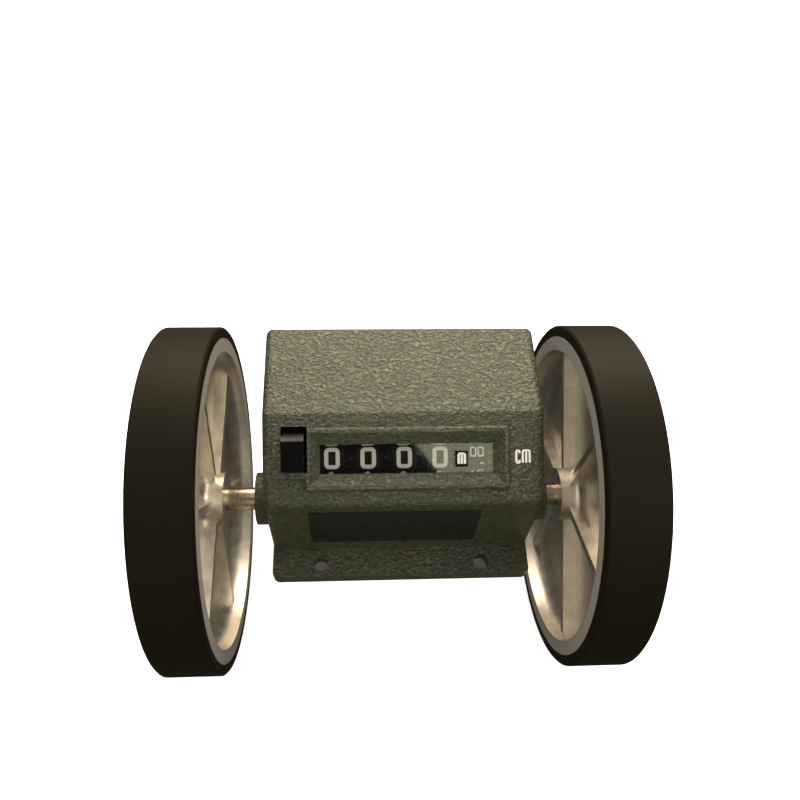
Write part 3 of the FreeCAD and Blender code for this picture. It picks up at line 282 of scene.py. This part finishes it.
def cast_aluminium():
    made, tree, shader = new_material("tumbled_die_cast_aluminium")
    surface = add(tree, "ShaderNodeTexCoord")
    place = surface.outputs["Object"]
    blotch = add(tree, "ShaderNodeTexNoise", {"Vector": place, "Scale": 1 / CAST_BLOTCH, "Detail": 5.0,
                                              "Roughness": 0.6}).outputs["Fac"]
    patchy = add(tree, "ShaderNodeMapRange", {"Value": blotch, "From Min": 0.35, "From Max": 0.65},
                 interpolation_type="SMOOTHSTEP").outputs[0]
    skin = add(tree, "ShaderNodeMix", {"Factor": patchy, 6: linear("#c6beae"), 7: linear("#d6cfc1")},
               data_type="RGBA").outputs[2]
    middle = add(tree, "ShaderNodeVectorMath", {0: place, 1: PIVOT["roller_axle"]}, operation="SUBTRACT")
    flat = add(tree, "ShaderNodeVectorMath", {0: middle.outputs[0], 1: (0, 1, 1)}, operation="MULTIPLY")
    radius = add(tree, "ShaderNodeVectorMath", {0: flat.outputs[0]}, operation="LENGTH").outputs["Value"]
    outside = add(tree, "ShaderNodeMath", {0: radius, 1: TURNED_FROM}, operation="GREATER_THAN").outputs[0]
    facing = add(tree, "ShaderNodeSeparateXYZ", {"Vector": surface.outputs["Normal"]}).outputs["X"]
    square = add(tree, "ShaderNodeMath", {0: facing}, operation="ABSOLUTE").outputs[0]
    level = add(tree, "ShaderNodeMath", {0: square, 1: FACES_SIDEWAYS}, operation="GREATER_THAN").outputs[0]
    turned = add(tree, "ShaderNodeMath", {0: outside, 1: level}, operation="MULTIPLY").outputs[0]
    tone = add(tree, "ShaderNodeMix", {"Factor": turned, 6: skin, 7: linear("#9c968c")}, data_type="RGBA")
    tree.links.new(tone.outputs[2], shader.inputs["Base Color"])
    skin_gloss = add(tree, "ShaderNodeMapRange", {"Value": blotch, "From Min": 0.3, "From Max": 0.7,
                                                  "To Min": 0.34, "To Max": 0.46}).outputs[0]
    gloss = add(tree, "ShaderNodeMix", {"Factor": turned, 2: skin_gloss, 3: 0.7}, data_type="FLOAT")
    tree.links.new(gloss.outputs[0], shader.inputs["Roughness"])
    bare = add(tree, "ShaderNodeMapRange", {"Value": turned, "To Min": 1.0, "To Max": 0.35})
    tree.links.new(bare.outputs[0], shader.inputs["Metallic"])
    rings = add(tree, "ShaderNodeMath", {0: radius, 1: 2 * math.pi / TURNING_PITCH}, operation="MULTIPLY")
    groove = add(tree, "ShaderNodeMath", {0: rings.outputs[0]}, operation="SINE").outputs[0]
    cut_face = add(tree, "ShaderNodeMath", {0: groove, 1: turned}, operation="MULTIPLY").outputs[0]
    grain = add(tree, "ShaderNodeTexNoise", {"Vector": place, "Scale": 1 / CAST_GRAIN,
                                             "Detail": 1.0}).outputs["Fac"]
    height = add(tree, "ShaderNodeMath", {0: cut_face, 1: 0.15, 2: grain}, operation="MULTIPLY_ADD")
    bump = add(tree, "ShaderNodeBump", {"Height": height.outputs[0], "Distance": 0.02 * MM, "Strength": 0.3})
    tree.links.new(bump.outputs[0], shader.inputs["Normal"])
    return made


finish_nodes(cast_aluminium(), "left_wheel", "right_wheel")


# Tyres
# Black rubber bands, moulded, stretched over the castings and ground true on the tread: dull, with a brown
# cast where they catch the light. The marks of the grit are drawn coarser than they are, so that they show.
BLOOM, GRINDING_GRIT = 16.7 * MM, 0.4 * MM


def ground_rubber():
    made, tree, shader = new_material("ground_black_rubber", Metallic=0.0, IOR=1.15)
    place = add(tree, "ShaderNodeTexCoord").outputs["Object"]
    bloom = add(tree, "ShaderNodeTexNoise", {"Vector": place, "Scale": 1 / BLOOM,
                                             "Detail": 3.0}).outputs["Fac"]
    tone = add(tree, "ShaderNodeMix", {"Factor": bloom, 6: linear("#141106"), 7: linear("#1a1609")},
               data_type="RGBA")
    tree.links.new(tone.outputs[2], shader.inputs["Base Color"])
    gloss = add(tree, "ShaderNodeMapRange", {"Value": bloom, "To Min": 0.5, "To Max": 0.62})
    tree.links.new(gloss.outputs[0], shader.inputs["Roughness"])
    grain = add(tree, "ShaderNodeTexNoise", {"Vector": place, "Scale": 1 / GRINDING_GRIT,
                                             "Detail": 2.0}).outputs["Fac"]
    bump = add(tree, "ShaderNodeBump", {"Height": grain, "Distance": 0.02 * MM, "Strength": 0.5})
    tree.links.new(bump.outputs[0], shader.inputs["Normal"])
    return made


finish_nodes(ground_rubber(), "left_tyre", "right_tyre")


# Figures
# White figures printed on the rims of the black drums: blunt upright strokes with rounded outer corners.
# The metre drums have one figure a step, the centimetre drum two small ones with a dash between steps.
ROOF_FRONT, DIAL_FOOT = Vector((0, -2.3, 47.8)) * MM, Vector((0, -25.7, 35.4)) * MM
DIAL_LEAN = math.atan2(ROOF_FRONT.z - DIAL_FOOT.z, ROOF_FRONT.y - DIAL_FOOT.y)
DRUM_PITCH = 10.45 * MM
DRUM_RADIUS = (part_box("units_drum")[1][1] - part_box("units_drum")[0][1]) / 2
READING_ANGLE = math.pi / 2 + DIAL_LEAN
STEPS = 10
STEP_ANGLE = 2 * math.pi / STEPS
FIGURE_HEIGHT, FIGURE_WIDTH, FIGURE_STROKE = 6.3 * MM, 4.5 * MM, 1.2 * MM
SMALL_HEIGHT, SMALL_WIDTH, SMALL_STROKE, SMALL_GAP = 3.0 * MM, 1.9 * MM, 0.45 * MM, 0.3 * MM
DASH_LEFT, DASH_WIDTH = 0.8 * MM, 1.5 * MM
PAIR_LEFT, PAIR_X, PAIR_RISE = -2.0 * MM, 2 * DRUM_PITCH + 0.3 * MM, 1.46 * MM
PRINT_THICKNESS, PRINT_STEP = 0.03 * MM, 0.4 * MM
CORNER_SHARE = 0.75
# Each figure is drawn as strokes in a box from 0 to 1, with a mark for the closed ones.
FIGURES = {
    "0": [([(0, 0), (0, 1), (1, 1), (1, 0)], True)],
    "1": [([(0.1, 0.72), (0.5, 1), (0.5, 0)], False)],
    "2": [([(0, 0.76), (0, 1), (1, 1), (1, 0.6), (0, 0.14), (0, 0), (1, 0)], False)],
    "3": [([(0, 0.8), (0, 1), (1, 1), (1, 0), (0, 0), (0, 0.2)], False), ([(0.35, 0.52), (1, 0.52)], False)],
    "4": [([(0.72, 0), (0.72, 1), (0, 0.3), (1, 0.3)], False)],
    "5": [([(1, 1), (0, 1), (0, 0.56), (1, 0.56), (1, 0), (0, 0), (0, 0.2)], False)],
    "6": [([(1, 0.8), (1, 1), (0, 1), (0, 0), (1, 0), (1, 0.55), (0, 0.55)], False)],
    "7": [([(0, 1), (1, 1), (0.35, 0)], False)],
    "8": [([(0, 0), (0, 1), (1, 1), (1, 0)], True), ([(0, 0.52), (1, 0.52)], False)],
    "9": [([(0, 0.2), (0, 0), (1, 0), (1, 1), (0, 1), (0, 0.45), (1, 0.45)], False)],
    "c": [([(1, 0.78), (1, 1), (0, 1), (0, 0), (1, 0), (1, 0.22)], False)],
    "m": [([(0, 0), (0, 1), (1, 1), (1, 0)], False), ([(0.5, 1), (0.5, 0)], False)],
    "-": [([(0, 0), (1, 0)], False)],
}


def rounded_path(points, closed, radius, step):
    """A stroke's middle line with its corners rounded, in short steps."""
    spots = [Vector(point) for point in points]
    count = len(spots)
    line = []
    for index, spot in enumerate(spots):
        before, after = spots[index - 1], spots[(index + 1) % count]
        if not closed and index in (0, count - 1):
            line.append(spot)
            continue
        inward, outward = (before - spot), (after - spot)
        trim = min(radius, inward.length / 2, outward.length / 2)
        start, stop = spot + inward.normalized() * trim, spot + outward.normalized() * trim
        for share in (0.0, 0.25, 0.5, 0.75, 1.0):
            line.append(start.lerp(spot, share).lerp(spot.lerp(stop, share), share))
    if closed:
        line.append(line[0])
    fine = [line[0]]
    for spot in line[1:]:
        parts = max(1, math.ceil((spot - fine[-1]).length / step))
        start = fine[-1]
        fine += [start.lerp(spot, part / parts) for part in range(1, parts + 1)]
    return fine


def stroke_strip(points, closed, width, radius, step):
    """The left and right sides of a stroke, as a strip of quads in the flat."""
    line = rounded_path(points, closed, radius, step)
    sides = []
    for index, spot in enumerate(line):
        if closed and index in (0, len(line) - 1):
            before, after = line[-2], line[1]
        else:
            before, after = line[max(index - 1, 0)], line[min(index + 1, len(line) - 1)]
        along = (after - before).normalized()
        aside = Vector((-along.y, along.x)) * width / 2
        sides.append((spot + aside, spot - aside))
    return sides


def lettering(words, left, middle, height, width, stroke, lay, gap=0.0, step=PRINT_STEP):
    """The prints of a word as thin raised strokes. lay turns a flat point and a height into a place."""
    verts, faces = [], []
    for number, letter in enumerate(words):
        start = left + number * (width + gap)
        for points, closed in FIGURES[letter]:
            flat = [Vector((start + stroke / 2 + across * (width - stroke),
                            middle - height / 2 + stroke / 2 + up * (height - stroke)))
                    for across, up in points]
            sides = stroke_strip(flat, closed, stroke, stroke * CORNER_SHARE, step)
            base = len(verts)
            for one, other in sides:
                verts += [lay(one, PRINT_THICKNESS), lay(other, PRINT_THICKNESS),
                          lay(other, 0.0), lay(one, 0.0)]
            last = base + 4 * (len(sides) - 1)
            for a in range(base, last, 4):
                b = a + 4
                faces += [(a + k, a + (k + 1) % 4, b + (k + 1) % 4, b + k) for k in range(4)]
            if not closed:
                faces += [(base + 3, base + 2, base + 1, base), (last, last + 1, last + 2, last + 3)]
    return verts, faces


def print_piece(name, prints, material, body):
    """One thin piece from several prints, which rides on a body."""
    verts, faces = [], []
    for more, rings in prints:
        faces += [tuple(corner + len(verts) for corner in face) for face in rings]
        verts += more
    mesh = bpy.data.meshes.new(name)
    mesh.from_pydata([tuple(v) for v in verts], [], faces)
    mesh.validate()
    mesh.shade_flat()
    piece = bpy.data.objects.new(name, mesh)
    bpy.context.scene.collection.objects.link(piece)
    mesh.materials.append(material)
    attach(piece, body)


# The ink is matt, and worn a little thinner in spots.
INK_WEAR = 0.71 * MM


def printed_white():
    made, tree, shader = new_material("printed_white_ink", Roughness=0.55, IOR=1.5)
    place = add(tree, "ShaderNodeTexCoord").outputs["Object"]
    wear = add(tree, "ShaderNodeTexNoise", {"Vector": place, "Scale": 1 / INK_WEAR,
                                            "Detail": 3.0}).outputs["Fac"]
    tone = add(tree, "ShaderNodeMix", {"Factor": wear, 6: linear("#f0e9e0"), 7: linear("#fdf9f2")},
               data_type="RGBA")
    tree.links.new(tone.outputs[2], shader.inputs["Base Color"])
    return made


def on_drum(body, x, turn):
    """Lays a flat print on a drum, turned up the slope from the middle of the window."""
    pivot = PIVOT[body]

    def lay(point, rise):
        angle = READING_ANGLE - turn - point.y / DRUM_RADIUS
        radius = DRUM_RADIUS + rise
        return Vector((x + point.x, pivot.y + radius * math.cos(angle), pivot.z + radius * math.sin(angle)))
    return lay


white_ink = printed_white()
for place_number, name in enumerate(("thousands", "hundreds", "tens", "units")):
    drum_x, body = (place_number - 2) * DRUM_PITCH, f"{name}_wheel"
    print_piece(f"{name}_figures",
                [lettering(str(figure), -FIGURE_WIDTH / 2, 0.0, FIGURE_HEIGHT, FIGURE_WIDTH, FIGURE_STROKE,
                           on_drum(body, drum_x, -figure * STEP_ANGLE)) for figure in range(STEPS)],
                white_ink, body)


def centimetre_prints():
    """The pair of figures and the dash of each step."""
    for figure in range(STEPS):
        turn = PAIR_RISE / DRUM_RADIUS - figure * STEP_ANGLE
        yield lettering(f"{figure}0", PAIR_LEFT, 0.0, SMALL_HEIGHT, SMALL_WIDTH, SMALL_STROKE,
                        on_drum("centimetre_wheel", PAIR_X, turn), gap=SMALL_GAP, step=0.3 * MM)
        yield lettering("-", DASH_LEFT, 0.0, SMALL_STROKE, DASH_WIDTH, SMALL_STROKE,
                        on_drum("centimetre_wheel", PAIR_X, turn - STEP_ANGLE / 2))


print_piece("centimetre_figures", centimetre_prints(), white_ink, "centimetre_wheel")


# Drums, key, plate and tag
# Black plastic mouldings and a bare enamelled plate. The drums and the tag are nearly matt, the key and
# the plate glossier, and each is a little uneven, with a grain that is drawn coarse enough to show.
FLOW_CLOUD, MOULD_GRAIN = 3.33 * MM, 0.56 * MM


def black_moulding(name, dark, light, low, high, sheen=0.5):
    made, tree, shader = new_material(name, Metallic=0.0, IOR=1.49, Specular_IOR_Level=sheen)
    place = add(tree, "ShaderNodeTexCoord").outputs["Object"]
    cloud = add(tree, "ShaderNodeTexNoise", {"Vector": place, "Scale": 1 / FLOW_CLOUD,
                                             "Detail": 3.0}).outputs["Fac"]
    tone = add(tree, "ShaderNodeMix", {"Factor": cloud, 6: linear(dark), 7: linear(light)}, data_type="RGBA")
    tree.links.new(tone.outputs[2], shader.inputs["Base Color"])
    gloss = add(tree, "ShaderNodeMapRange", {"Value": cloud, "To Min": low, "To Max": high})
    tree.links.new(gloss.outputs[0], shader.inputs["Roughness"])
    grain = add(tree, "ShaderNodeTexNoise", {"Vector": place, "Scale": 1 / MOULD_GRAIN,
                                             "Detail": 2.0}).outputs["Fac"]
    bump = add(tree, "ShaderNodeBump", {"Height": grain, "Distance": 0.01 * MM, "Strength": 0.4})
    tree.links.new(bump.outputs[0], shader.inputs["Normal"])
    return made


finish_nodes(black_moulding("moulded_black_drum", "#0b0302", "#140504", 0.35, 0.5, sheen=0.1),
             "thousands_drum", "hundreds_drum", "tens_drum", "units_drum", "centimetre_drum")
finish_nodes(black_moulding("moulded_black_key", "#020202", "#050504", 0.14, 0.24, sheen=0.3), "reset_key")
finish_nodes(black_moulding("black_plate", "#10120d", "#1c1f18", 0.16, 0.3), "nameplate")
finish_nodes(black_moulding("black_tag", "#080705", "#11100c", 0.4, 0.5, sheen=0.05), "unit_tag")


# Window lens
# A flat strip of clear acrylic, sawn and polished, set into the housing from behind. A faint film of dust
# and finger marks spreads its mirror image a little.
FINGER_MARK = 6.25 * MM


def clear_acrylic():
    made, tree, shader = new_material("clear_acrylic")
    place = add(tree, "ShaderNodeTexCoord").outputs["Object"]
    film = add(tree, "ShaderNodeTexNoise", {"Vector": place, "Scale": 1 / FINGER_MARK,
                                            "Detail": 4.0}).outputs["Fac"]
    gloss = add(tree, "ShaderNodeMapRange", {"Value": film, "To Min": 0.02, "To Max": 0.07})
    mirror = add(tree, "ShaderNodeBsdfGlossy", {"Color": linear("#f4f6f0"), "Roughness": gloss.outputs[0]})
    through = add(tree, "ShaderNodeBsdfTransparent", {"Color": linear("#fafbf8")})
    share = add(tree, "ShaderNodeFresnel", {"IOR": 1.45}).outputs[0]
    surface = add(tree, "ShaderNodeMixShader", {"Fac": share, 1: through.outputs[0], 2: mirror.outputs[0]})
    tree.links.new(surface.outputs[0], tree.nodes["Material Output"].inputs["Surface"])
    return made


finish_nodes(clear_acrylic(), "window_lens")


# Unit letters
# White letters, screen printed in the same ink: m on the small tag in the window, and cm straight on the
# enamel beside it.
DIAL_MIDDLE = (ROOF_FRONT + DIAL_FOOT) / 2
UP_SLOPE = Vector((0, math.cos(DIAL_LEAN), math.sin(DIAL_LEAN)))
OFF_DIAL = Vector((0, -math.sin(DIAL_LEAN), math.cos(DIAL_LEAN)))
TAG_DEPTH, TAG_X = 0.95 * MM, 16.4 * MM
TAG_LETTER = {"middle": -0.3 * MM, "height": 3.6 * MM, "width": 2.5 * MM, "stroke": 0.68 * MM}
DIAL_LETTER = {"middle": 0.1 * MM, "height": 4.1 * MM, "stroke": 0.6 * MM}


def on_dial(depth):
    """Lays a flat print on the dial face, or at a depth under it."""
    def lay(point, rise):
        return DIAL_MIDDLE + Vector((point.x, 0, 0)) + UP_SLOPE * point.y + OFF_DIAL * (rise - depth)
    return lay


print_piece("metre_letter",
            [lettering("m", TAG_X - TAG_LETTER["width"] / 2, lay=on_dial(TAG_DEPTH), **TAG_LETTER)],
            white_ink, "casing")
print_piece("centimetre_letters",
            [lettering("c", 31.75 * MM, width=1.5 * MM, lay=on_dial(0.0), **DIAL_LETTER),
             lettering("m", 33.6 * MM, width=2.6 * MM, lay=on_dial(0.0), **DIAL_LETTER)],
            white_ink, "casing")


# Axle and shafts
# Bright drawn steel, ground round on centres: fine rings round the shaft, and a warm oily shine. The rings
# of the real grinding are too fine to show, so they are drawn coarser.
RING_PITCH, OIL_FILM = 0.45 * MM, 5.56 * MM


def streaked_metal(name, dark, light, low, high, along, depth=0.01 * MM):
    """Bare metal with tool marks, drawn coarse enough to show. along is the marks' pitch on each axis."""
    made, tree, shader = new_material(name, Metallic=1.0)
    place = add(tree, "ShaderNodeTexCoord").outputs["Object"]
    drawn = add(tree, "ShaderNodeMapping", {"Vector": place, "Scale": [1 / pitch for pitch in along]})
    marks = add(tree, "ShaderNodeTexNoise", {"Vector": drawn.outputs[0], "Scale": 1.0,
                                             "Detail": 2.0}).outputs["Fac"]
    film = add(tree, "ShaderNodeTexNoise", {"Vector": place, "Scale": 1 / OIL_FILM,
                                            "Detail": 3.0}).outputs["Fac"]
    tone = add(tree, "ShaderNodeMix", {"Factor": film, 6: linear(dark), 7: linear(light)}, data_type="RGBA")
    tree.links.new(tone.outputs[2], shader.inputs["Base Color"])
    gloss = add(tree, "ShaderNodeMapRange", {"Value": marks, "From Min": 0.3, "From Max": 0.7, "To Min": low,
                                             "To Max": high})
    tree.links.new(gloss.outputs[0], shader.inputs["Roughness"])
    bump = add(tree, "ShaderNodeBump", {"Height": marks, "Distance": depth, "Strength": 0.5})
    tree.links.new(bump.outputs[0], shader.inputs["Normal"])
    return made


finish_nodes(streaked_metal("ground_bright_steel", "#a3987f", "#b9ae96", 0.2, 0.3,
                            (RING_PITCH, 6 * MM, 6 * MM), depth=0.002 * MM),
             "axle", "axle_collars", "drum_shaft", "pinion_shaft", "idler_stub", "lever_pin", "comb_rod")


# Bushes
# Sintered bronze, pressed into the bosses and soaked in oil: dark brown, with open pores that are drawn
# a little coarse, so that they show.
PORE, PORE_DEPTH = 0.35 * MM, 0.03 * MM


def oiled_bronze():
    made, tree, shader = new_material("oiled_sintered_bronze", Metallic=1.0)
    place = add(tree, "ShaderNodeTexCoord").outputs["Object"]
    pores = add(tree, "ShaderNodeTexVoronoi", {"Vector": place, "Scale": 1 / PORE}).outputs["Distance"]
    closed = add(tree, "ShaderNodeMapRange", {"Value": pores, "From Min": 0.12, "From Max": 0.4}).outputs[0]
    tone = add(tree, "ShaderNodeMix", {"Factor": closed, 6: linear("#2e2013"), 7: linear("#8a6b45")},
               data_type="RGBA")
    tree.links.new(tone.outputs[2], shader.inputs["Base Color"])
    gloss = add(tree, "ShaderNodeMapRange", {"Value": closed, "To Min": 0.6, "To Max": 0.32})
    tree.links.new(gloss.outputs[0], shader.inputs["Roughness"])
    bump = add(tree, "ShaderNodeBump", {"Height": closed, "Distance": PORE_DEPTH, "Strength": 0.6})
    tree.links.new(bump.outputs[0], shader.inputs["Normal"])
    return made


finish_nodes(oiled_bronze(), "left_bush", "right_bush")


# Base plate, frame and reset work
# Cold rolled steel sheet, blanked, bent and zinc plated: the cover under the housing and the parts that
# carry the movement. It is a cool grey, with the rolling marks still in it.
ROLLING_MARK = (5 * MM, 0.4 * MM, 5 * MM)
finish_nodes(streaked_metal("zinc_plated_sheet", "#9a9d9c", "#b9bab5", 0.28, 0.46, ROLLING_MARK,
                            depth=0.02 * MM),
             "base_plate", "movement_frame", "reset_lever", "reset_comb", "comb_arm", "drum_spacers")


# Screws, clips and spring
# Small steel fasteners: zinc plated screws in the base and frame, blackened grub screws in the hubs and
# clips on the shafts. The spring is coiled from bright music wire.
SCREW_MARK, CLIP_MARK, WIRE_MARK = (0.4 * MM, 0.4 * MM, 3 * MM), (0.5 * MM,) * 3, (0.3 * MM,) * 3
finish_nodes(streaked_metal("zinc_plated_screw", "#a9a69a", "#c4c1b4", 0.22, 0.38, SCREW_MARK),
             "base_screws", "frame_screws")
finish_nodes(streaked_metal("blackened_steel", "#232324", "#343536", 0.3, 0.5, CLIP_MARK),
             "wheel_set_screws", "shaft_circlips")
finish_nodes(streaked_metal("music_wire", "#8d8b86", "#a5a29b", 0.2, 0.34, WIRE_MARK), "reset_spring")


# Gears
# Free-cutting brass, turned and hobbed, and fixed to the axle, the idler and the centimetre drum. The
# cutter's marks run across the teeth, and oil has browned them.
HOB_MARK = (4 * MM, 0.35 * MM, 0.35 * MM)
finish_nodes(streaked_metal("hobbed_brass", "#5c4926", "#84683a", 0.3, 0.45, HOB_MARK),
             "drive_gear", "idler_gear", "idler_pinion", "centimetre_gear")


# Transfer pinions
# White acetal, moulded, free on their shaft and self-oiling: satin and a little translucent, so the tone
# drifts slightly.
ACETAL_FLOW, ACETAL_DEPTH = 1.5 * MM, 0.5 * MM


def white_acetal():
    made, tree, shader = new_material("moulded_white_acetal", IOR=1.48, Subsurface_Weight=0.15,
                                      Subsurface_Scale=ACETAL_DEPTH)
    place = add(tree, "ShaderNodeTexCoord").outputs["Object"]
    flow = add(tree, "ShaderNodeTexNoise", {"Vector": place, "Scale": 1 / ACETAL_FLOW,
                                            "Detail": 3.0}).outputs["Fac"]
    tone = add(tree, "ShaderNodeMix", {"Factor": flow, 6: linear("#dcd8ca"), 7: linear("#eeebe0")},
               data_type="RGBA")
    tree.links.new(tone.outputs[2], shader.inputs["Base Color"])
    gloss = add(tree, "ShaderNodeMapRange", {"Value": flow, "To Min": 0.36, "To Max": 0.52})
    tree.links.new(gloss.outputs[0], shader.inputs["Roughness"])
    bump = add(tree, "ShaderNodeBump", {"Height": flow, "Distance": 0.01 * MM, "Strength": 0.4})
    tree.links.new(bump.outputs[0], shader.inputs["Normal"])
    return made


finish_nodes(white_acetal(), "units_pinion", "tens_pinion", "hundreds_pinion", "thousands_pinion")
